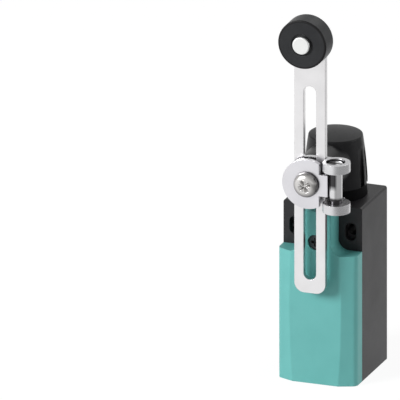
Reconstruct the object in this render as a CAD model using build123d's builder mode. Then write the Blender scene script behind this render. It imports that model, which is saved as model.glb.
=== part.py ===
from build123d import *
import math
import os

# Position switch with a turning head and an adjustable roller lever.
# Millimetres, +Z up, front towards -Y. The origin is the centre of the cable entry's mouth in the
# bottom face, midway between the enclosure's front and rear planes.

# Enclosure base
body_width = 31.0
body_height = 68.0
body_depth = 27.5
side_wall = 2.4
rear_wall = 2.6
floor_thickness = 8.0
cavity_top = 48.5
cavity_corner = 1.5
body_edge = 1.0

# Cable entry, M20 x 1.5
entry_radius = 9.2

# Fixing holes
fixing_spacing = 22.0
fixing_drop = 9.7
fixing_radius = 2.15
fixing_slot_length = 7.0
fixing_slot_depth = 3.0

# Front cover
cover_height = 51.0
cover_projection = 8.3
cover_side_depth = 5.7
cover_flat_bottom = 18.0
cover_flat_middle = 20.4
cover_flat_top = 16.6
cover_middle_height = 30.0
cover_wall = 1.8
cover_crease = 0.8
cover_corner = 2.4
neck_width = 12.5
neck_root_radius = 4.2
cover_screw_rise = 4.5
cover_screw_head_radius = 2.75
cover_screw_head_height = 2.4
cover_screw_radius = 1.75
cover_screw_sink = 0.5
cover_screw_reach = 6.5

# Gasket between cover and base
gasket_width = 1.0
gasket_depth = 0.7
gasket_margin = 0.8

# Clearances
running_fit = 0.04
face_gap = 0.05
piece_gap = 0.3
pocket_gap = 0.2

# Head
head_height = 23.1
head_crown = 0.6
head_base_radius = 11.85
head_mid_radius = 11.2
head_top_radius = 10.1
head_straight = 6.0
head_edge = 0.5
head_cavity_radius = 8.4
head_groove_width = 2.7
head_groove_depth = 1.2
head_groove_angle = 12.0
head_groove_top = 19.7
axis_height = 13.5
boss_radius = 8.9
boss_reach = 9.6
boss_edge = 0.6

# Ring that carries the head
ring_height = 4.2
ring_web = 2.4
ring_spigot_radius = 9.8
ring_spigot_height = 3.0
ring_foot_radius = 8.0
ring_foot_depth = 3.0
ring_groove = 0.35

# Shaft and its bearing
shaft_radius = 4.0
journal_radius = 3.0
bush_radius = 5.5
bush_rear = 8.0
journal_depth = 1.4
seal_thickness = 2.1
clip_thickness = 0.8
clip_groove = 0.5
clip_radius = 5.2
shaft_step = 6.6

# Cam: its radius grows evenly with the angle, so the plunger follows the lever at one ratio
cam_radius = 6.2
cam_rise = 1.2
cam_span = 85.0
cam_steps = 10
cam_thickness = 5.0
cam_pin_radius = 0.8
cam_pin_reach = 4.4
swing_limit = 75.0

# Centring spring on the shaft
centring_wire = 0.4
centring_radius = 4.7
centring_pitch = 0.9
centring_turns = 3
centring_leg = 2.4
centring_start = 5.9

# Plunger and contact carrier
plunger_radius = 2.4
plunger_gap = 0.3
plunger_seal_radius = 5.0
plunger_seal_thickness = 1.3
channel_radius = 3.4
carrier_width = 6.0
carrier_depth = 6.8
carrier_bottom = 22.0
carrier_top = 45.0

# Contact block
block_gap = 1.1
block_bottom = 13.0
block_top = 47.0
block_front = 9.0
block_floor = 3.0
bridge_length = 19.0
bridge_width = 4.0
bridge_thickness = 0.8
bridge_window = 3.2
upper_bridge_height = 39.0
lower_bridge_height = 28.0
contact_radius = 1.5
contact_height = 0.6
contact_offset = 7.8
contact_gap = 0.12
strip_width = 5.0
strip_thickness = 0.8
strip_rear = 2.5
terminal_height = 7.0
terminal_screw_radius = 1.5
terminal_head_radius = 2.2
terminal_head_height = 1.8
terminal_screw_length = 6.0
block_screw_radius = 1.5
block_screw_head_radius = 2.6
block_screw_head_height = 1.6
block_screw_height = 18.0
block_screw_offset = 8.0
block_screw_bite = 1.8
leaf_thickness = 0.3
leaf_span = 4.6

# Return spring under the carrier
spring_wire = 0.35
spring_radius = 2.2
spring_turns = 5

# Clamp hub on the shaft end
hub_gap = 0.2
hub_thickness = 2.0
sleeve_radius = 6.2
strap_radius = 9.0
strap_reach = 12.3
eye_height = 9.7
eye_radius = 5.2
eye_offset = 11.2
eye_forward = 4.05
eye_left = 6.4
eye_edge = 0.5
clamp_screw_offset = 10.9
clamp_screw_radius = 2.5
clamp_head_radius = 3.0
clamp_head_height = 1.3
clamp_recess_radius = 3.6
clamp_recess_depth = 1.9
clamp_slot_width = 0.9

# Lever strip
lever_width = 12.2
lever_thickness = 2.1
lever_below_roller = 100.4
lever_corner = 3.8
slot_width = 5.0
slot_top = 19.1
slot_bottom = 95.2
lever_extension = 56.5

# Front clamp plate and lever screw
plate_radius = 9.7
plate_thickness = 3.4
plate_skin = 1.7
plate_inset = 1.3
plate_cut = 4.9
tab_reach = 8.3
tab_height = 8.4
lever_screw_radius = 2.0
lever_screw_length = 14.0
screw_head_radius = 4.8
screw_head_height = 3.0
screw_dome = 2.1
cross_width = 1.1
cross_length = 4.8
cross_depth = 1.6
cross_turn = 25.0

# Roller
roller_radius = 9.5
roller_thickness = 8.1
roller_edge = 0.5
roller_recess_radius = 4.3
roller_recess_depth = 0.6
pin_radius = 2.5
pin_head_radius = 3.4
pin_head_height = 2.0
pin_tail_radius = 3.2
pin_tail_height = 1.4
spacer_radius = 4.2
spacer_thickness = 0.35

# Planes and heights that several pieces share
front_y = -body_depth / 2
rear_y = body_depth / 2
cover_front_y = front_y - cover_projection
fixing_height = body_height - fixing_drop
cover_screw_height = cover_height + cover_screw_rise
block_width = body_width - 2 * side_wall - 2 * block_gap
axis_z = body_height + axis_height
boss_front_y = front_y - boss_reach
hub_rear_y = boss_front_y - hub_gap
hub_front_y = hub_rear_y - hub_thickness
lever_rear_y = hub_front_y - face_gap
lever_front_y = lever_rear_y - lever_thickness
plate_rear_y = lever_front_y - face_gap
plate_front_y = plate_rear_y - plate_thickness
roller_z = axis_z + lever_extension
roller_rear_y = lever_front_y - spacer_thickness - face_gap
roller_front_y = roller_rear_y - roller_thickness
plunger_tip_z = axis_z - cam_radius - plunger_gap
plunger_travel = cam_rise * math.radians(swing_limit)

os.makedirs("parts", exist_ok=True)


def facing_front(x, y, z):
    """Sketch plane at a point, drawn as seen from the front, with its normal towards the front."""
    return Plane(origin=(x, y, z), x_dir=(1, 0, 0), z_dir=(0, -1, 0))


def facing_side(x, y, z):
    """Sketch plane at a point, drawn as seen from the right, with its normal towards +X."""
    return Plane(origin=(x, y, z), x_dir=(0, 1, 0), z_dir=(1, 0, 0))


# Enclosure base: an open tray with a solid block for the fixing holes at the top
with BuildPart() as housing_base:
    with BuildSketch(Plane.XY):
        Rectangle(body_width, body_depth)
    extrude(amount=body_height)
    fillet(housing_base.edges().filter_by(Axis.Z).sort_by(Axis.Y)[-2:], body_edge)
    fillet(housing_base.faces().sort_by(Axis.Z)[-1].edges().filter_by(Axis.Y), body_edge)
    # cavity, open at the front
    with BuildSketch(facing_front(0, rear_y - rear_wall, (cavity_top + floor_thickness) / 2)):
        RectangleRounded(body_width - 2 * side_wall, cavity_top - floor_thickness, cavity_corner)
    extrude(amount=body_depth, mode=Mode.SUBTRACT)
    # cable entry through the floor
    with BuildSketch(Plane.XY):
        Circle(entry_radius)
    extrude(amount=floor_thickness, mode=Mode.SUBTRACT)
    entry_edges = housing_base.edges().filter_by(GeomType.CIRCLE).sort_by(SortBy.RADIUS)[-2:]
    chamfer(entry_edges.sort_by(Axis.Z)[0], body_edge / 2)
    # round fixing holes with an oval mouth at the front
    with BuildSketch(facing_front(0, rear_y, fixing_height)):
        with GridLocations(fixing_spacing, 0, 2, 1):
            Circle(fixing_radius)
    extrude(amount=body_depth, mode=Mode.SUBTRACT)
    with BuildSketch(facing_front(0, front_y, fixing_height)):
        with GridLocations(fixing_spacing, 0, 2, 1):
            SlotOverall(fixing_slot_length, 2 * fixing_radius, rotation=90)
    extrude(amount=-fixing_slot_depth, mode=Mode.SUBTRACT)
    # channel for the plunger, with seats for its seal and for the head's ring
    with BuildSketch(Plane.XY.offset(body_height)):
        Circle(channel_radius)
    extrude(amount=cavity_top - body_height, mode=Mode.SUBTRACT)
    with BuildSketch(Plane.XY.offset(body_height)):
        Circle(ring_foot_radius + face_gap)
    extrude(amount=-ring_foot_depth, mode=Mode.SUBTRACT)
    with BuildSketch(Plane.XY.offset(body_height - ring_foot_depth)):
        Circle(plunger_seal_radius)
    extrude(amount=-plunger_seal_thickness, mode=Mode.SUBTRACT)
    # groove for the gasket round the cavity
    with BuildSketch(facing_front(0, front_y, cover_height / 2)):
        Rectangle(body_width - 2 * gasket_margin, cover_height - 2 * gasket_margin)
        Rectangle(
            body_width - 2 * gasket_margin - 2 * gasket_width,
            cover_height - 2 * gasket_margin - 2 * gasket_width,
            mode=Mode.SUBTRACT,
        )
    extrude(amount=-gasket_depth, mode=Mode.SUBTRACT)
    # threads for the cover screw and the block screws
    with BuildSketch(facing_front(0, front_y, cover_screw_height)):
        Circle(cover_screw_radius)
    extrude(amount=-cover_screw_reach, mode=Mode.SUBTRACT)
    with BuildSketch(facing_front(0, rear_y - rear_wall, block_screw_height)):
        with GridLocations(2 * block_screw_offset, 0, 2, 1):
            Circle(block_screw_radius)
    extrude(amount=-block_screw_bite, mode=Mode.SUBTRACT)
housing_base.part.label = "housing_base"
export_step(housing_base.part, "parts/housing_base.step")

with BuildPart() as cover_gasket:
    with BuildSketch(facing_front(0, front_y, cover_height / 2)):
        Rectangle(body_width - 2 * gasket_margin, cover_height - 2 * gasket_margin)
        Rectangle(
            body_width - 2 * gasket_margin - 2 * gasket_width,
            cover_height - 2 * gasket_margin - 2 * gasket_width,
            mode=Mode.SUBTRACT,
        )
    extrude(amount=-gasket_depth)
cover_gasket.part.label = "cover_gasket"
export_step(cover_gasket.part, "parts/cover_gasket.step")

# Front cover: a faceted shell that narrows to a neck between the fixing recesses
side_y = front_y - cover_side_depth
with BuildPart() as front_cover:
    # the flat is widest a little above the middle, so the creases beside it bow outwards
    for section_z, flat_width in (
        (0, cover_flat_bottom),
        (cover_middle_height, cover_flat_middle),
        (body_height, cover_flat_top),
    ):
        with BuildSketch(Plane.XY.offset(section_z)):
            with BuildLine():
                Polyline(
                    (-body_width / 2, front_y),
                    (-body_width / 2, side_y),
                    (-flat_width / 2, cover_front_y),
                    (flat_width / 2, cover_front_y),
                    (body_width / 2, side_y),
                    (body_width / 2, front_y),
                    close=True,
                )
            make_face()
    loft()
    upright_edges = front_cover.edges().filter_by(lambda edge: abs(edge.tangent_at(0).Z) > 0.9)
    fillet(upright_edges.group_by(Axis.Y)[1], cover_corner)
    upright_edges = front_cover.edges().filter_by(lambda edge: abs(edge.tangent_at(0).Z) > 0.9)
    fillet(upright_edges.group_by(Axis.Y)[0], cover_crease)
    # the recesses beside the neck
    with BuildSketch(facing_front(0, front_y, 0)):
        with Locations((0, (cover_height + body_height) / 2)):
            Rectangle(body_width + cover_wall, body_height - cover_height)
            Rectangle(neck_width, body_height - cover_height, mode=Mode.SUBTRACT)
        with Locations(
            (neck_width / 2 + neck_root_radius / 2, cover_height + neck_root_radius / 2),
            (-neck_width / 2 - neck_root_radius / 2, cover_height + neck_root_radius / 2),
        ):
            Rectangle(neck_root_radius, neck_root_radius, mode=Mode.SUBTRACT)
        with Locations(
            (neck_width / 2 + neck_root_radius, cover_height + neck_root_radius),
            (-neck_width / 2 - neck_root_radius, cover_height + neck_root_radius),
        ):
            Circle(neck_root_radius)
    extrude(amount=cover_projection, mode=Mode.SUBTRACT)
    # hollow behind, inside the wall
    with BuildSketch(Plane.XY.offset(cover_wall)):
        with BuildLine():
            Polyline(
                (-body_width / 2 + side_wall, front_y),
                (-body_width / 2 + side_wall, side_y + cover_wall / 2),
                (-cover_flat_top / 2, cover_front_y + cover_wall),
                (cover_flat_top / 2, cover_front_y + cover_wall),
                (body_width / 2 - side_wall, side_y + cover_wall / 2),
                (body_width / 2 - side_wall, front_y),
                close=True,
            )
        make_face()
    extrude(amount=cavity_top - cover_wall, mode=Mode.SUBTRACT)
    # sunk hole for the cover screw
    with Locations(facing_front(0, cover_front_y, cover_screw_height)):
        CounterBoreHole(
            cover_screw_radius + pocket_gap,
            cover_screw_head_radius + pocket_gap,
            cover_screw_head_height + cover_screw_sink,
            depth=cover_projection,
        )
    chamfer(front_cover.faces().sort_by(Axis.Z)[-1].edges().sort_by(Axis.Y)[0], body_edge / 2)
front_cover.part.label = "front_cover"
export_step(front_cover.part, "parts/front_cover.step")

with BuildPart() as cover_screw:
    with BuildSketch(facing_front(0, cover_front_y + cover_screw_sink, cover_screw_height)):
        Circle(cover_screw_head_radius)
    extrude(amount=-cover_screw_head_height)
    with BuildSketch(facing_front(0, cover_front_y + cover_screw_sink, cover_screw_height)):
        Circle(cover_screw_radius)
    extrude(amount=-(cover_projection - cover_screw_sink + cover_screw_reach))
    with BuildSketch(facing_front(0, cover_front_y + cover_screw_sink, cover_screw_height)):
        Rectangle(2 * cover_screw_radius, cross_width)
        Rectangle(cross_width, 2 * cover_screw_radius)
    extrude(amount=-cover_screw_head_height / 2, mode=Mode.SUBTRACT)
cover_screw.part.label = "cover_screw"
export_step(cover_screw.part, "parts/cover_screw.step")

# Ring on the enclosure: a foot in the base, a collar that shows and a spigot inside the head
with BuildPart() as head_ring:
    with BuildSketch(Plane.XZ):
        with BuildLine():
            Polyline(
                (plunger_radius + running_fit, body_height - ring_foot_depth),
                (ring_foot_radius, body_height - ring_foot_depth),
                (ring_foot_radius, body_height),
                (head_base_radius, body_height),
                (head_base_radius - ring_groove, body_height + ring_height),
                (ring_spigot_radius, body_height + ring_height),
                (ring_spigot_radius, body_height + ring_height + ring_spigot_height),
                (head_cavity_radius, body_height + ring_height + ring_spigot_height),
                (head_cavity_radius, body_height + ring_web),
                (plunger_radius + running_fit, body_height + ring_web),
                close=True,
            )
        make_face()
    revolve(axis=Axis.Z)
head_ring.part.label = "head_ring"
export_step(head_ring.part, "parts/head_ring.step")

with BuildPart() as plunger_seal:
    with BuildSketch(Plane.XY.offset(body_height - ring_foot_depth)):
        Circle(plunger_seal_radius)
        Circle(plunger_radius + running_fit, mode=Mode.SUBTRACT)
    extrude(amount=-plunger_seal_thickness)
plunger_seal.part.label = "plunger_seal"
export_step(plunger_seal.part, "parts/plunger_seal.step")

# Head: a tapered tower with a round boss for the shaft
head_bottom_z = body_height + ring_height + face_gap
head_top_z = body_height + head_height
with BuildPart() as head_housing:
    with BuildSketch(Plane.XZ):
        with BuildLine():
            Polyline(
                (0, head_bottom_z),
                (head_base_radius, head_bottom_z),
                (head_base_radius, body_height + head_straight),
            )
            ThreePointArc(
                (head_base_radius, body_height + head_straight),
                (head_mid_radius, body_height + (head_straight + head_height) / 2),
                (head_top_radius, head_top_z),
            )
            ThreePointArc(
                (head_top_radius, head_top_z),
                (head_top_radius / 2, head_top_z + head_crown * 3 / 4),
                (0, head_top_z + head_crown),
            )
            Line((0, head_top_z + head_crown), (0, head_bottom_z))
        make_face()
    revolve(axis=Axis.Z)
    fillet(head_housing.edges().filter_by(Plane.XY).sort_by(Axis.Z)[-1], head_edge)
    with BuildSketch(facing_front(0, 0, axis_z)):
        Circle(boss_radius)
    extrude(amount=-boss_front_y)
    chamfer(head_housing.faces().sort_by(Axis.Y)[0].edges(), boss_edge)
    # seat on the ring's spigot, and the space for cam and spring above it
    with BuildSketch(Plane.XY.offset(head_bottom_z)):
        Circle(ring_spigot_radius + running_fit)
    extrude(amount=ring_spigot_height + piece_gap, mode=Mode.SUBTRACT)
    with BuildSketch(Plane.XY.offset(head_bottom_z)):
        Circle(head_cavity_radius)
    extrude(amount=axis_z + head_cavity_radius - head_bottom_z, mode=Mode.SUBTRACT)
    # bore for the bush and the seal, and the blind bearing behind the cam
    with BuildSketch(facing_front(0, 0, axis_z)):
        Circle(bush_radius)
    extrude(amount=-boss_front_y, mode=Mode.SUBTRACT)
    with BuildSketch(facing_front(0, head_cavity_radius + journal_depth, axis_z)):
        Circle(journal_radius + running_fit)
    extrude(amount=head_cavity_radius, mode=Mode.SUBTRACT)
    # two upright grooves on each side
    for side_angle in (0, 180):
        for groove_angle in (side_angle - head_groove_angle, side_angle + head_groove_angle):
            with BuildSketch(Plane.XY.offset(head_bottom_z)):
                with PolarLocations(head_base_radius, 1, start_angle=groove_angle):
                    Rectangle(2 * head_groove_depth, head_groove_width)
            extrude(amount=head_groove_top - ring_height, mode=Mode.SUBTRACT)
head_housing.part.label = "head_housing"
export_step(head_housing.part, "parts/head_housing.step")

bush_front_y = boss_front_y + seal_thickness
with BuildPart() as shaft_bush:
    with BuildSketch(facing_front(0, -bush_rear, axis_z)):
        Circle(bush_radius)
        Circle(shaft_radius + running_fit, mode=Mode.SUBTRACT)
    extrude(amount=-bush_front_y - bush_rear)
shaft_bush.part.label = "shaft_bush"
export_step(shaft_bush.part, "parts/shaft_bush.step")

with BuildPart() as shaft_seal:
    with BuildSketch(facing_front(0, bush_front_y, axis_z)):
        Circle(bush_radius)
        Circle(shaft_radius + running_fit, mode=Mode.SUBTRACT)
    extrude(amount=seal_thickness - face_gap)
shaft_seal.part.label = "shaft_seal"
export_step(shaft_seal.part, "parts/shaft_seal.step")

# Centring spring: close coils round the shaft, with a leg at each end that points outwards
with BuildPart() as centring_spring:
    coil_length = centring_pitch * centring_turns
    with BuildLine() as centring_path:
        Helix(
            centring_pitch,
            coil_length,
            centring_radius,
            center=(0, coil_length - centring_start, axis_z),
            direction=(0, -1, 0),
        )
    coil_start = centring_path.line @ 0
    coil_end = centring_path.line @ 1
    with BuildSketch(Plane(origin=coil_start, z_dir=centring_path.line % 0)):
        Circle(centring_wire)
    sweep(path=centring_path.line)
    for leg_foot in (coil_start, coil_end):
        outwards = Vector(leg_foot.X, 0, leg_foot.Z - axis_z)
        with BuildSketch(Plane(origin=leg_foot, z_dir=outwards)):
            Circle(centring_wire)
        extrude(amount=centring_leg)
centring_spring.part.label = "centring_spring"
export_step(centring_spring.part, "parts/centring_spring.step")

# Shaft: journal, shoulder with a clip groove, and a tapped front end
journal_end_y = head_cavity_radius + journal_depth - piece_gap
clip_front_y = -bush_rear + face_gap
clip_rear_y = clip_front_y + clip_thickness
shaft_front_y = hub_front_y + face_gap
with BuildPart() as lever_shaft:
    with BuildSketch(facing_side(0, 0, axis_z)):
        with BuildLine():
            Polyline(
                (shaft_front_y, 0),
                (shaft_front_y, shaft_radius),
                (clip_front_y, shaft_radius),
                (clip_front_y, shaft_radius - clip_groove),
                (clip_rear_y, shaft_radius - clip_groove),
                (clip_rear_y, shaft_radius),
                (-shaft_step, shaft_radius),
                (-shaft_step, journal_radius),
                (journal_end_y, journal_radius),
                (journal_end_y, 0),
                close=True,
            )
        make_face()
    revolve(axis=Axis((0, 0, axis_z), (0, 1, 0)))
    with BuildSketch(facing_front(0, shaft_front_y, axis_z)):
        Circle(lever_screw_radius)
    extrude(amount=-lever_screw_length, mode=Mode.SUBTRACT)
    with BuildSketch(Plane.XY.offset(axis_z + journal_radius)):
        Circle(cam_pin_radius)
    extrude(amount=-2 * journal_radius, mode=Mode.SUBTRACT)
lever_shaft.part.label = "lever_shaft"
export_step(lever_shaft.part, "parts/lever_shaft.step")

with BuildPart() as shaft_clip:
    with BuildSketch(facing_front(0, clip_rear_y, axis_z)):
        Circle(clip_radius)
        Circle(shaft_radius - clip_groove, mode=Mode.SUBTRACT)
        with Locations((0, clip_radius)):
            Rectangle(shaft_radius, 2 * clip_radius, mode=Mode.SUBTRACT)
    extrude(amount=clip_thickness)
shaft_clip.part.label = "shaft_clip"
export_step(shaft_clip.part, "parts/shaft_clip.step")


def cam_point(angle):
    """Point of the cam's edge, at an angle in degrees from straight down towards +X."""
    radius = cam_radius + cam_rise * math.radians(angle)
    return (radius * math.sin(math.radians(angle)), -radius * math.cos(math.radians(angle)))


with BuildPart() as cam:
    cam_angles = [-cam_span + 2 * cam_span * step / cam_steps for step in range(cam_steps + 1)]
    with BuildSketch(facing_front(0, cam_thickness / 2, axis_z)):
        with BuildLine():
            Spline(*[cam_point(angle) for angle in cam_angles])
            ThreePointArc(cam_point(cam_span), (0, cam_radius), cam_point(-cam_span))
        make_face()
        Circle(journal_radius, mode=Mode.SUBTRACT)
    extrude(amount=cam_thickness)
    with BuildSketch(Plane.XY.offset(axis_z - cam_pin_reach)):
        Circle(cam_pin_radius)
    extrude(amount=2 * cam_radius, mode=Mode.SUBTRACT)
cam.part.label = "cam"
export_step(cam.part, "parts/cam.step")

with BuildPart() as cam_pin:
    with BuildSketch(Plane.XY.offset(axis_z - cam_pin_reach)):
        Circle(cam_pin_radius)
    extrude(amount=2 * cam_pin_reach)
cam_pin.part.label = "cam_pin"
export_step(cam_pin.part, "parts/cam_pin.step")

# Plunger: a rod with a domed tip under the cam
dome_middle = math.sqrt(0.5)
with BuildPart() as plunger:
    with BuildSketch(Plane.XZ):
        with BuildLine():
            Polyline(
                (0, plunger_tip_z),
                (0, carrier_top),
                (plunger_radius, carrier_top),
                (plunger_radius, plunger_tip_z - plunger_radius),
            )
            ThreePointArc(
                (plunger_radius, plunger_tip_z - plunger_radius),
                (plunger_radius * dome_middle, plunger_tip_z - plunger_radius * (1 - dome_middle)),
                (0, plunger_tip_z),
            )
        make_face()
    revolve(axis=Axis.Z)
plunger.part.label = "plunger"
export_step(plunger.part, "parts/plunger.step")

with BuildPart() as contact_carrier:
    with BuildSketch(Plane.XY.offset(carrier_bottom)):
        RectangleRounded(carrier_width, carrier_depth, body_edge / 2)
    extrude(amount=carrier_top - carrier_bottom)
    # windows for the bridges: each bridge bears on one side, its leaf spring fills the rest
    for window_z in (
        upper_bridge_height + bridge_thickness / 2 - bridge_window / 2,
        lower_bridge_height - bridge_thickness / 2 + bridge_window / 2,
    ):
        with BuildSketch(facing_side(-carrier_width / 2, 0, window_z)):
            Rectangle(bridge_width, bridge_window)
        extrude(amount=carrier_width, mode=Mode.SUBTRACT)
    # blind seat for the return spring
    with BuildSketch(Plane.XY.offset(carrier_bottom)):
        Circle(spring_radius + spring_wire + pocket_gap)
    extrude(amount=bridge_thickness, mode=Mode.SUBTRACT)
contact_carrier.part.label = "contact_carrier"
export_step(contact_carrier.part, "parts/contact_carrier.step")

with BuildPart() as contact_bridges:
    for bridge_z, side in ((upper_bridge_height, 1), (lower_bridge_height, -1)):
        with BuildSketch(Plane.XY.offset(bridge_z - bridge_thickness / 2)):
            Rectangle(bridge_length, bridge_width)
        extrude(amount=bridge_thickness)
        with BuildSketch(Plane.XY.offset(bridge_z + side * bridge_thickness / 2)):
            with GridLocations(2 * contact_offset, 0, 2, 1):
                Circle(contact_radius)
        extrude(amount=side * contact_height)
contact_bridges.part.label = "contact_bridges"
export_step(contact_bridges.part, "parts/contact_bridges.step")

# Leaf springs that press the bridges to the far side of their windows
leaf_rise = bridge_window - bridge_thickness - leaf_thickness
with BuildPart() as bridge_springs:
    for bridge_z, side in ((upper_bridge_height, 1), (lower_bridge_height, -1)):
        leaf_z = bridge_z - side * bridge_thickness / 2
        with BuildSketch(facing_front(0, bridge_width / 2 - pocket_gap, leaf_z)):
            with BuildLine():
                ThreePointArc(
                    (-leaf_span / 2, -side * (leaf_rise + leaf_thickness)),
                    (0, -side * leaf_thickness),
                    (leaf_span / 2, -side * (leaf_rise + leaf_thickness)),
                )
                Line(
                    (leaf_span / 2, -side * (leaf_rise + leaf_thickness)),
                    (leaf_span / 2, -side * leaf_rise),
                )
                ThreePointArc(
                    (leaf_span / 2, -side * leaf_rise),
                    (0, 0),
                    (-leaf_span / 2, -side * leaf_rise),
                )
                Line(
                    (-leaf_span / 2, -side * leaf_rise),
                    (-leaf_span / 2, -side * (leaf_rise + leaf_thickness)),
                )
            make_face()
        extrude(amount=bridge_width - 2 * pocket_gap)
bridge_springs.part.label = "bridge_springs"
export_step(bridge_springs.part, "parts/bridge_springs.step")

# Return spring between the block's floor and the carrier
spring_floor_z = block_bottom + block_floor
spring_top_z = carrier_bottom + bridge_thickness
with BuildPart() as plunger_spring:
    spring_height = spring_top_z - spring_floor_z - 2 * spring_wire
    with BuildLine(Plane.XY.offset(spring_floor_z + spring_wire)) as spring_path:
        Helix(spring_height / spring_turns, spring_height, spring_radius)
    with BuildSketch(Plane(origin=spring_path.line @ 0, z_dir=spring_path.line % 0)):
        Circle(spring_wire)
    sweep(path=spring_path.line)
plunger_spring.part.label = "plunger_spring"
export_step(plunger_spring.part, "parts/plunger_spring.step")

# Contact block: a moulded body with a shaft for the carrier and windows for the bridges
block_rear_y = rear_y - rear_wall
fixed_gap = plunger_travel + contact_gap + contact_height + bridge_thickness / 2
upper_strip_z = upper_bridge_height + fixed_gap + contact_height + strip_thickness / 2
lower_strip_z = lower_bridge_height - fixed_gap - contact_height - strip_thickness / 2
with BuildPart() as contact_block:
    with BuildSketch(facing_front(0, block_rear_y, (block_bottom + block_top) / 2)):
        Rectangle(block_width, block_top - block_bottom)
    extrude(amount=block_rear_y + block_front)
    with BuildSketch(Plane.XY.offset(spring_floor_z)):
        Rectangle(carrier_width + 2 * pocket_gap, carrier_depth + 2 * pocket_gap)
    extrude(amount=block_top - spring_floor_z, mode=Mode.SUBTRACT)
    for bridge_z, strip_z in (
        (upper_bridge_height, upper_strip_z),
        (lower_bridge_height, lower_strip_z),
    ):
        side = 1 if strip_z > bridge_z else -1
        window_near = bridge_z - side * (plunger_travel + bridge_thickness)
        window_far = strip_z + side * strip_thickness / 2
        with BuildSketch(facing_front(0, bridge_width / 2 + pocket_gap, (window_near + window_far) / 2)):
            Rectangle(bridge_length + 2 * pocket_gap, abs(window_far - window_near))
        extrude(amount=bridge_width + 2 * pocket_gap, mode=Mode.SUBTRACT)
        # channels for the terminal strips, from the windows to the front
        with BuildSketch(facing_front(0, strip_rear, strip_z)):
            with GridLocations(2 * contact_offset, 0, 2, 1):
                Rectangle(strip_width, strip_thickness)
        extrude(amount=strip_rear + block_front, mode=Mode.SUBTRACT)
        with BuildSketch(facing_front(0, -block_front, strip_z - side * terminal_height / 2)):
            with GridLocations(2 * contact_offset, 0, 2, 1):
                Circle(terminal_screw_radius)
        extrude(amount=-terminal_screw_length, mode=Mode.SUBTRACT)
    with BuildSketch(facing_front(0, block_rear_y, block_screw_height)):
        with GridLocations(2 * block_screw_offset, 0, 2, 1):
            Circle(block_screw_radius)
    extrude(amount=block_rear_y + block_front, mode=Mode.SUBTRACT)
contact_block.part.label = "contact_block"
export_step(contact_block.part, "parts/contact_block.step")


def fixed_contacts(strip_z, side):
    """Two terminal strips with their contacts: a tongue to the bridge and a plate in front."""
    with BuildPart() as strips:
        with BuildSketch(facing_side(0, 0, strip_z)):
            with BuildLine():
                Polyline(
                    (strip_rear, side * strip_thickness / 2),
                    (strip_rear, -side * strip_thickness / 2),
                    (-block_front, -side * strip_thickness / 2),
                    (-block_front, side * (strip_thickness / 2 - terminal_height)),
                    (-block_front - strip_thickness, side * (strip_thickness / 2 - terminal_height)),
                    (-block_front - strip_thickness, side * strip_thickness / 2),
                    close=True,
                )
            make_face()
        extrude(amount=strip_width / 2, both=True)
        with BuildSketch(Plane.XY.offset(strip_z)):
            Circle(contact_radius)
        extrude(amount=-side * (strip_thickness / 2 + contact_height))
        terminal_z = strip_z - side * terminal_height / 2
        with BuildSketch(facing_front(0, -block_front, terminal_z)):
            Circle(terminal_screw_radius)
        extrude(amount=strip_thickness, mode=Mode.SUBTRACT)
    return strips.part


for contact_set, strip_z, side in (
    ("upper_contacts", upper_strip_z, 1),
    ("lower_contacts", lower_strip_z, -1),
):
    one_strip = fixed_contacts(strip_z, side)
    with BuildPart() as contact_pair:
        with Locations((contact_offset, 0, 0), (-contact_offset, 0, 0)):
            add(one_strip)
    contact_pair.part.label = contact_set
    export_step(contact_pair.part, f"parts/{contact_set}.step")

with BuildPart() as terminal_screws:
    for terminal_z in (upper_strip_z - terminal_height / 2, lower_strip_z + terminal_height / 2):
        with BuildSketch(facing_front(0, -block_front - strip_thickness, terminal_z)):
            with GridLocations(2 * contact_offset, 0, 2, 1):
                Circle(terminal_head_radius)
        extrude(amount=terminal_head_height)
        with BuildSketch(facing_front(0, -block_front - strip_thickness, terminal_z)):
            with GridLocations(2 * contact_offset, 0, 2, 1):
                Circle(terminal_screw_radius)
        extrude(amount=-terminal_screw_length)
terminal_screws.part.label = "terminal_screws"
export_step(terminal_screws.part, "parts/terminal_screws.step")

with BuildPart() as block_screws:
    with BuildSketch(facing_front(0, -block_front, block_screw_height)):
        with GridLocations(2 * block_screw_offset, 0, 2, 1):
            Circle(block_screw_head_radius)
    extrude(amount=block_screw_head_height)
    with BuildSketch(facing_front(0, -block_front, block_screw_height)):
        with GridLocations(2 * block_screw_offset, 0, 2, 1):
            Circle(block_screw_radius)
    extrude(amount=-(block_rear_y + block_front + block_screw_bite))
block_screws.part.label = "block_screws"
export_step(block_screws.part, "parts/block_screws.step")

# Sleeve on the shaft end, gripped by the strap
with BuildPart() as hub_sleeve:
    with BuildSketch(facing_front(0, hub_rear_y, axis_z)):
        Circle(sleeve_radius)
        Circle(shaft_radius, mode=Mode.SUBTRACT)
    extrude(amount=hub_thickness)
hub_sleeve.part.label = "hub_sleeve"
export_step(hub_sleeve.part, "parts/hub_sleeve.step")

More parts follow.
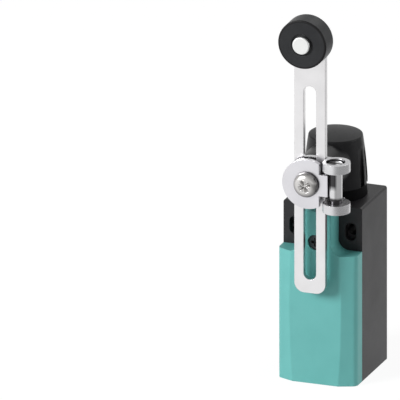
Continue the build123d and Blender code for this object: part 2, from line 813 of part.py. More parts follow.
# Clamp strap: a band round the sleeve whose two ends stand forward as eyes
eye_y = hub_front_y - eye_forward
with BuildPart() as clamp_strap:
    with BuildSketch(facing_front(0, hub_rear_y, axis_z)):
        Circle(strap_radius)
        with Locations((strap_reach / 2, 0)):
            Rectangle(strap_reach, 2 * strap_radius)
        Circle(sleeve_radius, mode=Mode.SUBTRACT)
        with Locations((strap_reach, 0)):
            Rectangle(2 * strap_reach, 2 * sleeve_radius, mode=Mode.SUBTRACT)
    extrude(amount=hub_thickness)
    with BuildSketch(Plane.XY.offset(axis_z - eye_height)):
        with Locations((eye_offset, eye_y)):
            Circle(eye_radius)
        with Locations(((eye_left + eye_offset) / 2, (hub_front_y + eye_y) / 2)):
            Rectangle(eye_offset - eye_left, hub_front_y - eye_y)
        with Locations((eye_left / 2, eye_y)):
            Rectangle(eye_left, 2 * eye_radius, mode=Mode.SUBTRACT)
    extrude(amount=2 * eye_height)
    # the gap between the eyes goes back to the rear face
    with BuildSketch(facing_front(0, hub_rear_y, axis_z)):
        with Locations((strap_reach, 0)):
            Rectangle(2 * strap_reach, 2 * sleeve_radius)
    extrude(amount=hub_thickness + eye_forward + 2 * eye_radius, mode=Mode.SUBTRACT)
    # bore for the clamp screw, with a recess for its head at the top
    with BuildSketch(Plane.XY.offset(axis_z - eye_height)):
        with Locations((clamp_screw_offset, eye_y)):
            Circle(clamp_screw_radius)
    extrude(amount=2 * eye_height, mode=Mode.SUBTRACT)
    with BuildSketch(Plane.XY.offset(axis_z + eye_height)):
        with Locations((clamp_screw_offset, eye_y)):
            Circle(clamp_recess_radius)
    extrude(amount=-clamp_recess_depth, mode=Mode.SUBTRACT)
clamp_strap.part.label = "clamp_strap"
export_step(clamp_strap.part, "parts/clamp_strap.step")

clamp_seat_z = axis_z + eye_height - clamp_recess_depth
with BuildPart() as clamp_screw:
    with BuildSketch(Plane.XY.offset(clamp_seat_z)):
        with Locations((clamp_screw_offset, eye_y)):
            Circle(clamp_head_radius)
    extrude(amount=clamp_head_height)
    fillet(clamp_screw.faces().sort_by(Axis.Z)[-1].edges(), eye_edge)
    with BuildSketch(Plane.XY.offset(clamp_seat_z)):
        with Locations((clamp_screw_offset, eye_y)):
            Circle(clamp_screw_radius)
    extrude(amount=-(2 * eye_height - clamp_recess_depth))
    with BuildSketch(Plane.XY.offset(clamp_seat_z + clamp_head_height)):
        with Locations((clamp_screw_offset, eye_y)):
            Rectangle(2 * clamp_head_radius, clamp_slot_width)
    extrude(amount=-clamp_head_height / 2, mode=Mode.SUBTRACT)
clamp_screw.part.label = "clamp_screw"
export_step(clamp_screw.part, "parts/clamp_screw.step")

# Front clamp plate: a disc with a straight cut and a tab between the eyes, on a smaller boss that
# bears on the lever
with BuildPart() as clamp_plate:
    for layer_y, inset, depth in (
        (plate_rear_y, plate_inset, plate_thickness - plate_skin),
        (plate_front_y + plate_skin, 0, plate_skin),
    ):
        with BuildSketch(facing_front(0, layer_y, axis_z)):
            Circle(plate_radius - inset)
            with Locations((plate_cut - inset + plate_radius / 2, 0)):
                Rectangle(plate_radius, 2 * plate_radius, mode=Mode.SUBTRACT)
            with Locations(((tab_reach - inset) / 2, 0)):
                Rectangle(tab_reach - inset, tab_height - 2 * inset)
            Circle(lever_screw_radius + pocket_gap, mode=Mode.SUBTRACT)
        extrude(amount=depth)
    fillet(clamp_plate.faces().sort_by(Axis.Y)[0].outer_wire().edges(), eye_edge / 2)
clamp_plate.part.label = "clamp_plate"
export_step(clamp_plate.part, "parts/clamp_plate.step")

# Lever screw: domed head with a cross recess
with BuildPart() as lever_screw:
    with BuildSketch(facing_front(0, plate_front_y, axis_z)):
        Circle(screw_head_radius)
    extrude(amount=screw_head_height)
    with BuildSketch(facing_front(0, plate_front_y, axis_z)):
        Circle(lever_screw_radius)
    extrude(amount=-lever_screw_length)
    fillet(lever_screw.faces().sort_by(Axis.Y)[0].edges(), screw_dome)
    with BuildSketch(facing_front(0, plate_front_y - screw_head_height, axis_z)):
        Rectangle(cross_length, cross_width, rotation=cross_turn)
        Rectangle(cross_width, cross_length, rotation=cross_turn)
    extrude(amount=-cross_depth, mode=Mode.SUBTRACT)
lever_screw.part.label = "lever_screw"
export_step(lever_screw.part, "parts/lever_screw.step")

# Lever strip with its long slot
lever_bottom = -lever_below_roller
with BuildPart() as lever_arm:
    with BuildSketch(facing_front(0, lever_rear_y, roller_z)):
        with Locations((0, lever_bottom / 2)):
            Rectangle(lever_width, lever_below_roller)
        Circle(lever_width / 2)
        with Locations((0, -(slot_top + slot_bottom) / 2)):
            SlotOverall(slot_bottom - slot_top, slot_width, rotation=90, mode=Mode.SUBTRACT)
        Circle(pin_radius, mode=Mode.SUBTRACT)
    extrude(amount=lever_thickness)
    fillet(lever_arm.edges().filter_by(Axis.Y).group_by(Axis.Z)[0], lever_corner)
lever_arm.part.label = "lever_arm"
export_step(lever_arm.part, "parts/lever_arm.step")

with BuildPart() as roller_spacer:
    with BuildSketch(facing_front(0, lever_front_y, roller_z)):
        Circle(spacer_radius)
        Circle(pin_radius, mode=Mode.SUBTRACT)
    extrude(amount=spacer_thickness)
roller_spacer.part.label = "roller_spacer"
export_step(roller_spacer.part, "parts/roller_spacer.step")

# Roller pin: a rivet through lever and spacer, with a flat head in front of the roller
pin_head_rear_y = roller_front_y + roller_recess_depth - face_gap
with BuildPart() as roller_pin:
    with BuildSketch(facing_front(0, pin_head_rear_y, roller_z)):
        Circle(pin_head_radius)
    extrude(amount=pin_head_height)
    fillet(roller_pin.faces().sort_by(Axis.Y)[0].edges(), eye_edge)
    with BuildSketch(facing_front(0, pin_head_rear_y, roller_z)):
        Circle(pin_radius)
    extrude(amount=-(lever_rear_y - pin_head_rear_y))
    with BuildSketch(facing_front(0, lever_rear_y, roller_z)):
        Circle(pin_tail_radius)
    extrude(amount=-pin_tail_height)
    fillet(roller_pin.faces().sort_by(Axis.Y)[-1].edges(), eye_edge)
roller_pin.part.label = "roller_pin"
export_step(roller_pin.part, "parts/roller_pin.step")

with BuildPart() as roller:
    with BuildSketch(facing_front(0, roller_rear_y, roller_z)):
        Circle(roller_radius)
        Circle(pin_radius + running_fit, mode=Mode.SUBTRACT)
    extrude(amount=roller_thickness)
    fillet(roller.edges().filter_by(GeomType.CIRCLE).sort_by(SortBy.RADIUS)[-2:], roller_edge)
    with BuildSketch(facing_front(0, roller_front_y, roller_z)):
        Circle(roller_recess_radius)
    extrude(amount=-roller_recess_depth, mode=Mode.SUBTRACT)
roller.part.label = "roller"
export_step(roller.part, "parts/roller.step")
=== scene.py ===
import bpy
import bmesh
import math
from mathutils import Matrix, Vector


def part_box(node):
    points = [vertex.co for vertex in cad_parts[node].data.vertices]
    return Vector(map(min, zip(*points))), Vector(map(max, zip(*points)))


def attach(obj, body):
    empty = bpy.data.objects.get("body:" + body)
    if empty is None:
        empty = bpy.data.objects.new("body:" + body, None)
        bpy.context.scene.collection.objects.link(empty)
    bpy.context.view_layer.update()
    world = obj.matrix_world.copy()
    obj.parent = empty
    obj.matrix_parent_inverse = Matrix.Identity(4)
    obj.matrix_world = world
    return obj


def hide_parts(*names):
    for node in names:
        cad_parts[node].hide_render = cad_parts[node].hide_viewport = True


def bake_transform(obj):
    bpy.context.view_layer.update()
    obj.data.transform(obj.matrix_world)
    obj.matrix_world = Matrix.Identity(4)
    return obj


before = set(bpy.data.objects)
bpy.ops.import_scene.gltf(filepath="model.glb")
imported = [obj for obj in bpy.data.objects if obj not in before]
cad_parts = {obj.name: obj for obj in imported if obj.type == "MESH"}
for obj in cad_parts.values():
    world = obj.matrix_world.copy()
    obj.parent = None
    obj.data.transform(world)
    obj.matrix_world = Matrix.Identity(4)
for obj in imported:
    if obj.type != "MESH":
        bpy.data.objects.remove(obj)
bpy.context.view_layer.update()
print("frame loaded:", len(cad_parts), "nodes")
mmPerMetre = 1000


def tone(red, green, blue):
    # a screen colour 0-255 as the linear colour that shaders take
    def linear(c):
        c /= 255
        return c / 12.92 if c <= 0.04045 else ((c + 0.055) / 1.055) ** 2.4
    return (linear(red), linear(green), linear(blue), 1.0)


class Wire:
    # one output socket; maths on it adds Math nodes
    def __init__(self, finish, socket):
        self.finish = finish
        self.socket = socket

    def math(self, operation, first, second, clamp=False):
        settings = {"operation": operation, "use_clamp": clamp}
        return self.finish.node("ShaderNodeMath", settings, {0: first, 1: second})

    def __add__(self, other):
        return self.math("ADD", self, other)

    def __radd__(self, other):
        return self.math("ADD", other, self)

    def __sub__(self, other):
        return self.math("SUBTRACT", self, other)

    def __rsub__(self, other):
        return self.math("SUBTRACT", other, self)

    def __mul__(self, other):
        return self.math("MULTIPLY", self, other)

    def __rmul__(self, other):
        return self.math("MULTIPLY", other, self)

    def held(self):
        # the same value kept between 0 and 1
        return self.math("ADD", self, 0.0, clamp=True)

    def centred(self):
        # 0..1 moved to -0.5..0.5
        return self - 0.5


class Finish:
    # one material (or the world) and the nodes in it
    def __init__(self, owner):
        owner.use_nodes = True
        self.owner = owner
        self.tree = owner.node_tree
        self.tree.nodes.clear()

    def node(self, kind, settings=None, sockets=None, out=0):
        made = self.tree.nodes.new(kind)
        for key, value in (settings or {}).items():
            setattr(made, key, value)
        for key, value in (sockets or {}).items():
            if isinstance(value, Wire):
                self.tree.links.new(value.socket, made.inputs[key])
            else:
                made.inputs[key].default_value = value
        return Wire(self, made.outputs[out]) if made.outputs else None

    def vector(self, operation, sockets, out="Vector"):
        return self.node("ShaderNodeVectorMath", {"operation": operation}, sockets, out)

    def place(self, stretch=(1, 1, 1)):
        # object coordinates in millimetres, so that scales below read as mm
        spot = self.node("ShaderNodeTexCoord", out="Object")
        return self.vector("MULTIPLY", {0: spot, 1: tuple(mmPerMetre * s for s in stretch)})

    def along(self, spot, way):
        # how far a point lies along a direction
        return self.vector("DOT_PRODUCT", {0: spot, 1: way}, "Value")

    def fromLine(self, spot, x, z):
        # distance from a line that runs from front to back
        flat = self.vector("MULTIPLY_ADD", {0: spot, 1: (1, 0, 1), 2: (-x, 0, -z)})
        return self.vector("LENGTH", {0: flat}, "Value")

    def noise(self, spot, scale, detail=3.0, rough=0.5):
        return self.node("ShaderNodeTexNoise", sockets={
            "Vector": spot, "Scale": scale, "Detail": detail, "Roughness": rough}, out="Fac")

    def spread(self, value, low, high):
        # stretches low..high to 0..1
        sockets = {"Value": value, "From Min": low, "From Max": high}
        return self.node("ShaderNodeMapRange", {"clamp": True}, sockets)

    def blendColours(self, factor, first, second):
        sockets = {0: factor, 6: first, 7: second}
        return self.node("ShaderNodeMix", {"data_type": "RGBA"}, sockets, out=2)

    def rounded(self, radius, low=0.01, high=0.12):
        # normal with the CAD's sharp edges eased, and a mask of those edges
        eased = self.node("ShaderNodeBevel", {"samples": 6}, {"Radius": radius})
        flat = self.node("ShaderNodeNewGeometry", out="Normal")
        return eased, self.spread(1 - self.along(eased, flat), low, high)

    def nooks(self, reach, low, high):
        # 1 in narrow gaps and corners, 0 on open faces
        openness = self.node("ShaderNodeAmbientOcclusion", {"samples": 8}, {"Distance": reach}, out="AO")
        return 1 - self.spread(openness, low, high)

    def bumps(self, height, look, **normal):
        return self.node("ShaderNodeBump", sockets={
            "Height": height, "Strength": look["grain"], "Distance": look["grainDepth"], **normal})

    def surface(self, **sockets):
        named = {key.replace("_", " "): value for key, value in sockets.items()}
        skin = self.node("ShaderNodeBsdfPrincipled", sockets=named)
        self.node("ShaderNodeOutputMaterial", sockets={"Surface": skin})
        return self.owner


finishes = {}


def dress(name, make, look, nodes, **changes):
    # a finish made from a look with some changes, on every slot of its nodes
    finishes[name] = make(name, dict(look, **changes))
    for node in nodes:
        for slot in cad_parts[node].material_slots:
            slot.material = finishes[name]


# Mouldings: fine grain, faint clouds of colour, and scuffs that run up and down
plastic = {
    "edge": 0.00025, "wear": 0.25, "gloss": 0.2,
    "grainScale": 5.5, "grain": 0.35, "grainDepth": 0.00006,
    "cloudScale": 0.09, "clouds": (0.35, 0.65),
    "scuffWay": (1, 1, 0.25), "scuffScale": 1.3, "scuffs": (0.66, 0.78), "scuffShare": 0.4,
    "rough": 0.42, "cloudRough": 0.12, "edgePolish": 0.08,
}


def mouldedPlastic(name, look):
    f = Finish(bpy.data.materials.new(name))
    spot = f.place()
    eased, edges = f.rounded(look["edge"])
    grain = f.noise(spot, look["grainScale"], detail=2.0)
    cloud = f.noise(spot, look["cloudScale"])
    scratches = f.noise(f.place(look["scuffWay"]), look["scuffScale"], detail=5.0, rough=0.65)
    scuffs = f.spread(scratches, *look["scuffs"])
    colour = f.blendColours(f.spread(cloud, *look["clouds"]), look["colour"], look["deep"])
    worn = edges * look["wear"] + scuffs * look["wear"] * look["scuffShare"]
    colour = f.blendColours(worn.held(), colour, look["worn"])
    rough = look["rough"] + cloud.centred() * look["cloudRough"] - edges * look["edgePolish"]
    return f.surface(Base_Color=colour, Roughness=rough.held(), Specular_IOR_Level=look["gloss"],
                     Normal=f.bumps(grain, look, Normal=eased))


dress("blackMoulding", mouldedPlastic, plastic, ["head_housing"], rough=0.36, gloss=0.16,
      colour=tone(30, 30, 32), deep=tone(25, 25, 27), worn=tone(70, 70, 72))
# the head ring: its own black, darkened further with painted shade from the head above it
dress("ringMoulding", mouldedPlastic, plastic, ["head_ring"], rough=0.6, gloss=0.04,
      colour=tone(14, 14, 15), deep=tone(10, 10, 11), worn=tone(40, 40, 41))
dress("darkBase", mouldedPlastic, plastic, ["housing_base"], gloss=0.25,
      colour=tone(45, 44, 46), deep=tone(41, 40, 42), worn=tone(84, 84, 85))
dress("tealMoulding", mouldedPlastic, plastic, ["front_cover"], rough=0.45, gloss=0.35, wear=0.2,
      colour=tone(114, 192, 188), deep=tone(110, 188, 184), worn=tone(156, 214, 209))
dress("paleMoulding", mouldedPlastic, plastic, ["contact_block", "cam", "plunger", "contact_carrier"],
      gloss=0.4, colour=tone(208, 205, 196), deep=tone(198, 195, 186), worn=tone(222, 220, 214))

# Roller: turning rings about its pin, and a dark lip beside its eased edge (radii and height in mm)
rollerLook = dict(plastic, **{
    "rough": 0.44, "wear": 0.1, "cloudScale": 0.12, "cloudShare": 0.6, "ringShare": 0.4, "grainShare": 0.5,
    "ringRough": 0.2, "edgePolish": 0.05, "pinHeight": 138.0, "ringScale": 3.2,
    "lip": 0.85, "lipStart": (8.6, 8.85), "lipEnd": (9.4, 9.5), "lipColour": tone(16, 15, 16),
    "colour": tone(47, 48, 50), "deep": tone(38, 39, 41), "worn": tone(92, 93, 94),
})


def turnedPlastic(name, look):
    f = Finish(bpy.data.materials.new(name))
    spot = f.place()
    eased, edges = f.rounded(look["edge"])
    radius = f.fromLine(spot, 0, look["pinHeight"])
    rings = f.node("ShaderNodeTexNoise", {"noise_dimensions": "1D"}, {
        "W": radius, "Scale": look["ringScale"], "Detail": 2.0}, out="Fac")
    cloud = f.noise(spot, look["cloudScale"])
    lip = f.spread(radius, *look["lipStart"]) * (1 - f.spread(radius, *look["lipEnd"]))
    shade = f.spread(cloud, *look["clouds"]) * look["cloudShare"] + rings * look["ringShare"]
    colour = f.blendColours(shade.held(), look["colour"], look["deep"])
    colour = f.blendColours(lip * look["lip"], colour, look["lipColour"])
    colour = f.blendColours((edges * look["wear"]).held(), colour, look["worn"])
    height = rings + f.noise(spot, look["grainScale"], detail=2.0) * look["grainShare"]
    rough = look["rough"] + rings.centred() * look["ringRough"] - edges * look["edgePolish"]
    return f.surface(Base_Color=colour, Roughness=rough.held(), Specular_IOR_Level=look["gloss"],
                     Normal=f.bumps(height, look, Normal=eased))


dress("rollerPlastic", turnedPlastic, rollerLook, ["roller"])

# Plated steel: brushed lines, dull clouds and pits, bright edges, and painted shade in narrow gaps
steel = {
    "edge": 0.0002, "wear": 0.5,
    "grainWay": (1, 1, 1), "grainScale": 3.0, "grain": 0.2, "grainDepth": 0.00003,
    "cloudScale": 0.12, "clouds": (0.3, 0.7), "cloudShare": 0.6,
    "pitScale": 2.2, "pits": (0.62, 0.75), "pitShare": 0.25,
    "lineRough": 0.14, "pitRough": 0.08, "edgePolish": 0.05,
    "reach": 0.002, "nooks": (0.15, 0.75), "soot": 0.7, "sootColour": tone(22, 22, 23), "stains": (),
}
brushed = dict(steel, grainWay=(6, 1, 0.12), grainScale=1.4, grain=0.22, rough=0.3, soot=0.6)


def platedSteel(name, look):
    f = Finish(bpy.data.materials.new(name))
    eased, edges = f.rounded(look["edge"])
    spot = f.place()
    lines = f.noise(f.place(look["grainWay"]), look["grainScale"], detail=4.0, rough=0.6)
    cloud = f.noise(spot, look["cloudScale"])
    pits = f.spread(f.noise(spot, look["pitScale"], detail=4.0, rough=0.6), *look["pits"])
    dulled = f.spread(cloud, *look["clouds"]) * look["cloudShare"] + pits * look["pitShare"]
    colour = f.blendColours(dulled.held(), look["colour"], look["dull"])
    colour = f.blendColours((edges * look["wear"]).held(), colour, look["edgeColour"])
    # painted shade: the steel is darkened in narrow gaps and corners where shade falls
    sooty = f.nooks(look["reach"], *look["nooks"]) * look["soot"]
    colour = f.blendColours(sooty, colour, look["sootColour"])
    for stain in look["stains"]:
        colour = stain(f, spot, colour, look)
    rough = (look["rough"] + lines.centred() * look["lineRough"] + pits * look["pitRough"]
             - edges * look["edgePolish"])
    return f.surface(Base_Color=colour, Metallic=1.0, Roughness=rough.held(),
                     Normal=f.bumps(lines, look, Normal=eased))


def darkRim(f, spot, colour, look):
    # painted dark reflection: the turned head gets darker towards its rim
    radius = f.fromLine(spot, *look["rimCentre"])
    return f.blendColours(f.spread(radius, *look["rimAt"]) * look["rim"], colour, look["rimColour"])


def oldOil(f, spot, colour, look):
    # painted dark reflection: darker on the half that faces the clamp plate's tab, weaker low down, and
    # all round the foot
    half = 1 - f.spread(f.along(spot, look["oilWay"]), *look["oilSide"])
    height = f.along(spot, (0, 0, 1))
    foot = 1 - f.spread(height, *look["oilFoot"])
    thickness = look["oilThin"] + (1 - look["oilThin"]) * f.spread(height, *look["oilTop"])
    oil = (half * thickness + foot).held() * look["oil"]
    return f.blendColours(oil, colour, look["oilColour"])


dress("leverSteel", platedSteel, brushed, ["lever_arm"], edge=0.0003,
      colour=tone(233, 232, 233), dull=tone(218, 217, 218), edgeColour=tone(240, 240, 240))
dress("plateSteel", platedSteel, brushed, ["clamp_plate"], edge=0.0001,
      colour=tone(222, 221, 225), dull=tone(210, 209, 213), edgeColour=tone(225, 225, 227))
dress("clampSteel", platedSteel, steel, ["clamp_strap", "hub_sleeve", "roller_spacer"],
      edge=0.0001, reach=0.004, soot=1.0, grainWay=(1, 1, 5), grainScale=1.2, grain=0.15, rough=0.28,
      colour=tone(222, 222, 224), dull=tone(196, 196, 198), edgeColour=tone(228, 228, 229))
# the shank carries painted dark reflection: a darker half towards the tab and a dark foot
dress("shankSteel", platedSteel, steel, ["clamp_screw"],
      edge=0.00005, reach=0.0025, soot=0.9, grain=0.05, rough=0.14, stains=[oldOil],
      oilWay=(0.94, 0.345, 0), oilSide=(-0.2, 0.6), oilTop=(80.4, 82.4), oilFoot=(76.8, 77.8),
      oilThin=0.25, oil=0.97, oilColour=tone(48, 47, 49),
      colour=tone(248, 248, 249), dull=tone(236, 236, 238), edgeColour=tone(248, 248, 249))
# the pan head's dark rim is a painted reflection
dress("capSteel", platedSteel, steel, [],
      edge=0.0001, reach=0.0012, soot=0.75, grain=0.15, rough=0.24, stains=[darkRim],
      rimCentre=(-0.2, 82.1), rimAt=(3.2, 4.8), rim=0.85, rimColour=tone(92, 90, 91),
      colour=tone(214, 212, 210), dull=tone(172, 171, 170), edgeColour=tone(236, 236, 238))
dress("screwSteel", platedSteel, steel,
      ["lever_screw", "terminal_screws", "block_screws", "lever_shaft", "cam_pin"], rough=0.26,
      colour=tone(206, 206, 208), dull=tone(170, 170, 174), edgeColour=tone(236, 236, 238))
dress("pinSteel", platedSteel, steel, ["roller_pin"], grainScale=2.5, grain=0.1, rough=0.42,
      colour=tone(233, 234, 233), dull=tone(224, 225, 224), edgeColour=tone(246, 246, 246))
dress("darkSteel", platedSteel, steel, ["cover_screw"], rough=0.4,
      colour=tone(80, 82, 84), dull=tone(60, 62, 64), edgeColour=tone(120, 122, 124))
dress("springSteel", platedSteel, steel,
      ["plunger_spring", "centring_spring", "bridge_springs", "shaft_clip"], edge=0.0001, rough=0.3,
      colour=tone(176, 176, 178), dull=tone(140, 140, 143), edgeColour=tone(205, 205, 207))
dress("bushBronze", platedSteel, steel,
      ["shaft_bush", "upper_contacts", "lower_contacts", "contact_bridges"],
      grainScale=3.5, grain=0.3, rough=0.38,
      colour=tone(186, 150, 92), dull=tone(160, 122, 70), edgeColour=tone(214, 184, 128))

# Rubber: matt, with dust on it
rubber = {
    "colour": tone(26, 26, 27), "dusty": tone(70, 68, 66), "dustScale": 0.8, "dust": (0.45, 0.75),
    "grainScale": 5.0, "grain": 0.3, "grainDepth": 0.00005, "rough": 0.72, "dustRough": 0.2,
}


def softRubber(name, look):
    f = Finish(bpy.data.materials.new(name))
    spot = f.place()
    dust = f.noise(spot, look["dustScale"], detail=4.0)
    colour = f.blendColours(f.spread(dust, *look["dust"]), look["colour"], look["dusty"])
    rough = look["rough"] + dust.centred() * look["dustRough"]
    return f.surface(Base_Color=colour, Roughness=rough.held(),
                     Normal=f.bumps(f.noise(spot, look["grainScale"]), look))


dress("sealRubber", softRubber, rubber, ["cover_gasket", "plunger_seal", "shaft_seal"])
print("finishes made:", len(finishes))


def linked(name, data):
    # an object for this mesh, lamp or camera, in the scene
    made = bpy.data.objects.new(name, data)
    bpy.context.collection.objects.link(made)
    return made


def ownPiece(name, mesh, node, body, finish):
    # a detailed piece that stands for a CAD node
    piece = linked(name, mesh)
    mesh.materials.append(finish)
    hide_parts(node)
    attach(piece, body)
    return piece


def cornersOf(node):
    low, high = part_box(node)
    return Vector(low), Vector(high)


def meshOf(name, form):
    # a bmesh with its faces turned outwards, kept as a mesh
    bmesh.ops.recalc_face_normals(form, faces=form.faces)
    mesh = bpy.data.meshes.new(name)
    form.to_mesh(mesh)
    form.free()
    return mesh


# Clamp plate: a pressed front disc on a smaller boss, so that a dark gap runs round behind it
clampPlate = {
    "cut": 0.0049, "tabHalf": 0.0042, "skin": 0.0017, "inset": 0.0013,
    "ease": 0.00015, "bossEase": 0.000075, "steps": 80,
}


def plateOutline(radius, cut, reach, half, steps):
    # disc with a straight cut at the right and a tab on it, as x and z from the lever's axis
    first = math.acos(cut / radius)
    turns = [first + (2 * math.pi - 2 * first) * i / steps for i in range(steps + 1)]
    return ([(radius * math.cos(a), radius * math.sin(a)) for a in turns]
            + [(cut, -half), (reach, -half), (reach, half), (cut, half)])


def slab(form, outline, front, rear, axisHeight, ease):
    # a plate between two y planes with eased edges all round
    verts = [form.verts.new((x, front, axisHeight + z)) for x, z in outline]
    made = bmesh.ops.extrude_face_region(form, geom=[form.faces.new(verts)])["geom"]
    moved = [v for v in made if isinstance(v, bmesh.types.BMVert)]
    bmesh.ops.translate(form, verts=moved, vec=(0, rear - front, 0))
    rims = [e for v in (verts, moved) for e in form.edges if e.verts[0] in v and e.verts[1] in v]
    bmesh.ops.bevel(form, geom=rims, offset=ease, segments=3, profile=0.5, affect="EDGES")


def pressedPlate(look, low, high):
    radius, axisHeight = (high.z - low.z) / 2, (high.z + low.z) / 2
    seam = low.y + look["skin"]
    form = bmesh.new()
    for shrink, front, rear, ease in ((0, low.y, seam, look["ease"]),
                                      (look["inset"], seam, high.y, look["bossEase"])):
        outline = plateOutline(radius - shrink, look["cut"] - shrink, high.x - shrink,
                               look["tabHalf"] - shrink, look["steps"])
        slab(form, outline, front, rear, axisHeight, ease)
    return meshOf("clampPlate", form)


plateLow, plateHigh = cornersOf("clamp_plate")
ownPiece("clampPlate", pressedPlate(clampPlate, plateLow, plateHigh), "clamp_plate", "shaft",
         finishes["plateSteel"])
print("clamp plate built")

# Lever screw: a turned pan head with a dark gap under its rim, and a cross recess with tapered wings
leverScrew = {
    "undercut": 0.0006, "gap": 0.0005, "gapSlope": 1.3, "side": 0.0008, "corner": 0.0028,
    "flatRise": 0.0002, "shank": 0.002, "turns": 96, "arcSteps": 8, "merge": 1e-7,
    "wing": (0.0034, 0.0013), "wingFoot": (0.0013, 0.0002), "depth": 0.0015,
    "tick": (0.0022, 0.0002), "tickDepth": 0.0004, "tilt": 26.0, "sharpAngle": 28,
}


def panHead(look, low, high, plateFace, axisHeight):
    # half section as radius and y, turned about the lever's axis
    radius, lip, corner = (high.x - low.x) / 2, plateFace - look["side"], look["corner"]
    neck, steps = radius - look["undercut"], look["arcSteps"]
    rise = lip - low.y - look["flatRise"]
    section = [(0.0, high.y), (look["shank"], high.y), (look["shank"], plateFace), (neck, plateFace),
               (neck, plateFace - look["gap"]), (radius, plateFace - look["gap"] * look["gapSlope"])]
    for i in range(steps + 1):
        a = math.pi / 2 * i / steps
        section.append((radius - corner + corner * math.cos(a), lip - rise * math.sin(a)))
    section.append((0.0, low.y))
    form = bmesh.new()
    line = [form.verts.new((r, y, axisHeight)) for r, y in section]
    edges = [form.edges.new(pair) for pair in zip(line, line[1:])]
    bmesh.ops.spin(form, geom=line + edges, cent=(0, 0, axisHeight), axis=(0, 1, 0),
                   angle=2 * math.pi, steps=look["turns"], use_merge=True)
    bmesh.ops.remove_doubles(form, verts=form.verts, dist=look["merge"])
    return meshOf("panHead", form)


def crossCutter(look, front, axisHeight):
    # four-sided tapered blades: two deep wings and two shallow ticks between them
    form = bmesh.new()
    tilt = math.radians(look["tilt"])
    blades = [(0, "wing", "wingFoot", "depth"), (2, "wing", "wingFoot", "depth"),
              (1, "tick", "tick", "tickDepth"), (3, "tick", "tick", "tickDepth")]
    for eighths, mouth, foot, depth in blades:
        angle = tilt + math.pi / 4 * eighths
        cosine, sine = math.cos(angle), math.sin(angle)
        rings = []
        levels = (look[mouth], front - look[depth] / 2), (look[foot], front + look[depth])
        for (along, across), y in levels:
            corners = ((along, across), (-along, across), (-along, -across), (along, -across))
            rings.append([form.verts.new((u * cosine - v * sine, y, axisHeight + u * sine + v * cosine))
                          for u, v in corners])
            form.faces.new(rings[-1])
        for i in range(4):
            after = (i + 1) % 4
            form.faces.new((rings[0][i], rings[0][after], rings[1][after], rings[1][i]))
    return meshOf("crossCutter", form)


def carved(name, bodyMesh, cutterMesh, sharpAngle):
    # the body less the cutter, as a mesh of its own
    blank, cutter = (linked(mesh.name, mesh) for mesh in (bodyMesh, cutterMesh))
    cut = blank.modifiers.new("cut", "BOOLEAN")
    cut.object = cutter
    cut.solver = "EXACT"
    cut.use_self = True
    bpy.context.view_layer.update()
    evaluated = blank.evaluated_get(bpy.context.evaluated_depsgraph_get())
    mesh = bpy.data.meshes.new_from_object(evaluated)
    mesh.name = name
    for helper in (blank, cutter):
        bpy.data.objects.remove(helper)
    mesh.set_sharp_from_angle(angle=math.radians(sharpAngle))
    return mesh


leverAxis = (plateLow.z + plateHigh.z) / 2
screwLow, screwHigh = cornersOf("lever_screw")
headBlank = panHead(leverScrew, screwLow, screwHigh, plateLow.y, leverAxis)
recess = crossCutter(leverScrew, screwLow.y, leverAxis)
ownPiece("leverScrew", carved("leverScrew", headBlank, recess, leverScrew["sharpAngle"]),
         "lever_screw", "shaft", finishes["capSteel"])
print("lever screw built")

# Return spring: closed flat ends, and an even climb of turns between them
returnSpring = {"wire": 0.00035, "turns": 5, "flatTurns": 0.8, "stepsPerTurn": 36, "wireSides": 10}


def coil(look, low, high):
    wire, sides = look["wire"], look["wireSides"]
    radius = (high.x - low.x) / 2 - wire
    bottom, top = low.z + wire, high.z - wire
    allTurns = look["turns"] + 2 * look["flatTurns"]
    steps = round(allTurns * look["stepsPerTurn"])
    sideAngles = [2 * math.pi * s / sides for s in range(sides)]
    form = bmesh.new()
    rings = []
    for i in range(steps + 1):
        turned = allTurns * i / steps
        climb = min(max((turned - look["flatTurns"]) / look["turns"], 0), 1)
        angle = 2 * math.pi * turned
        outward = Vector((math.cos(angle), math.sin(angle), 0))
        centre = outward * radius + Vector((0, 0, bottom + (top - bottom) * climb))
        rings.append([form.verts.new(centre + wire * (outward * math.cos(a) + Vector((0, 0, math.sin(a)))))
                      for a in sideAngles])
    for ring, following in zip(rings, rings[1:]):
        for s in range(sides):
            after = (s + 1) % sides
            form.faces.new((ring[s], ring[after], following[after], following[s]))
    form.faces.new(rings[0])
    form.faces.new(rings[-1])
    for face in form.faces:
        face.smooth = len(face.verts) == 4
    return meshOf("returnSpring", form)


springLow, springHigh = cornersOf("plunger_spring")
springMesh = coil(returnSpring, springLow, springHigh)
springMesh.materials.append(finishes["springSteel"])
springPiece = linked("returnSpring", springMesh)
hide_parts("plunger_spring")
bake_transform(springPiece)
print("return spring built")

# Camera: a parallel view, a little from the right and from above
photoView = {
    "scale": 0.148017, "azimuth": 20.2, "elevation": 19.79, "aim": (0.0, -0.01375, 0.068),
    "sideways": -0.045445, "upwards": 0.001384, "distance": 1.5, "clipEnd": 20,
}
turn = math.radians(photoView["azimuth"])
tilt = math.radians(photoView["elevation"])
rightWay = Vector((math.cos(turn), math.sin(turn), 0))
backWay = Vector((math.sin(turn) * math.cos(tilt), -math.cos(turn) * math.cos(tilt), math.sin(tilt)))
upWay = backWay.cross(rightWay)
eye = bpy.data.cameras.new("photoView")
eye.type = "ORTHO"
eye.ortho_scale = photoView["scale"]
eye.clip_end = photoView["clipEnd"]
eyeHolder = linked("photoView", eye)
eyeHolder.rotation_euler = (math.pi / 2 - tilt, 0, turn)
eyeHolder.location = (Vector(photoView["aim"]) + rightWay * photoView["sideways"]
                      + upWay * photoView["upwards"] + backWay * photoView["distance"])
bpy.context.scene.camera = eyeHolder

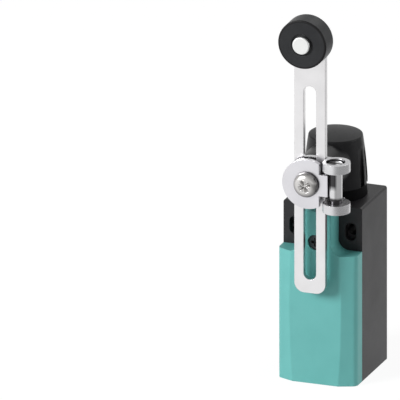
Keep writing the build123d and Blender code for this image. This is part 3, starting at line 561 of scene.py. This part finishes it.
# Tent: a white world and floor, dimmed where polished metal should reflect something darker
tent = {
    "worldLevel": 0.17, "roof": (0.05, 0.35), "roofDim": 0.35,
    "floorSize": 6.0, "floorHeight": -0.0002, "floorGlow": 0.82, "litStrength": 1.12,
    "white": (1, 1, 1, 1), "paper": (0.85, 0.85, 0.85, 1),
    "darkWay": (0.97, -0.26, 0.0), "dark": (0.02, 0.15), "darkTone": (0.38, 0.38, 0.38, 1),
}


def lookingRays(f):
    # 1 for rays of the camera, of mirrors and through clear pieces, and the mirror rays alone
    camRay, glossRay, throughRay = (f.node("ShaderNodeLightPath", out=ray) for ray in (
        "Is Camera Ray", "Is Glossy Ray", "Is Transmission Ray"))
    return (camRay + glossRay + throughRay).held(), glossRay


world = bpy.data.worlds.new("studioWorld")
bpy.context.scene.world = world
w = Finish(world)
seen, glossRay = lookingRays(w)
# metal sees the tent's roof a little darker than its walls
skyHeight = w.along(w.node("ShaderNodeTexCoord", out="Generated"), (0, 0, 1))
roof = w.spread(skyHeight, *tent["roof"]) * glossRay * tent["roofDim"]
glow = w.node("ShaderNodeBackground", sockets={
    "Color": tent["white"], "Strength": seen - roof + (1 - seen) * tent["worldLevel"]})
w.node("ShaderNodeOutputWorld", sockets={"Surface": glow})

ground = bmesh.new()
bmesh.ops.create_grid(ground, x_segments=1, y_segments=1, size=tent["floorSize"] / 2)
floorMesh = meshOf("floor", ground)
floorPiece = linked("floor", floorMesh)
floorPiece.location = (0, 0, tent["floorHeight"])
f = Finish(bpy.data.materials.new("paleFloor"))
seen, glossRay = lookingRays(f)
# the paper that metal reflects gets darker towards the right, away from the key lamp
across = f.along(f.node("ShaderNodeTexCoord", out="Object"), tent["darkWay"])
dimmed = f.spread(across, *tent["dark"]) * glossRay
lit = f.node("ShaderNodeEmission", sockets={
    "Color": f.blendColours(dimmed, tent["white"], tent["darkTone"]), "Strength": tent["litStrength"]})
paper = f.node("ShaderNodeBsdfDiffuse", sockets={
    "Color": f.blendColours(dimmed, tent["paper"], tent["darkTone"])})
blended = f.node("ShaderNodeMixShader", sockets={0: seen * tent["floorGlow"], 1: paper, 2: lit})
f.node("ShaderNodeOutputMaterial", sockets={"Surface": blended})
floorMesh.materials.append(f.owner)

lamps = [
    {"name": "softKey", "from": (-1.0, -1.25, 0.78), "size": 0.65, "power": 24},
    {"name": "sideFill", "from": (1.35, 0.35, 0.4), "size": 0.8, "power": 4.8},
    {"name": "backFill", "from": (0.2, 1.2, 1.1), "size": 0.8, "power": 3},
]
lampAim = Vector((0, 0, 0.07))
for lamp in lamps:
    light = bpy.data.lights.new(lamp["name"], "AREA")
    light.size = lamp["size"]
    light.energy = lamp["power"]
    holder = linked(lamp["name"], light)
    holder.location = lamp["from"]
    holder.rotation_euler = (lampAim - holder.location).to_track_quat("-Z", "Y").to_euler()
bpy.context.scene.view_settings.view_transform = "Standard"
print("studio ready")
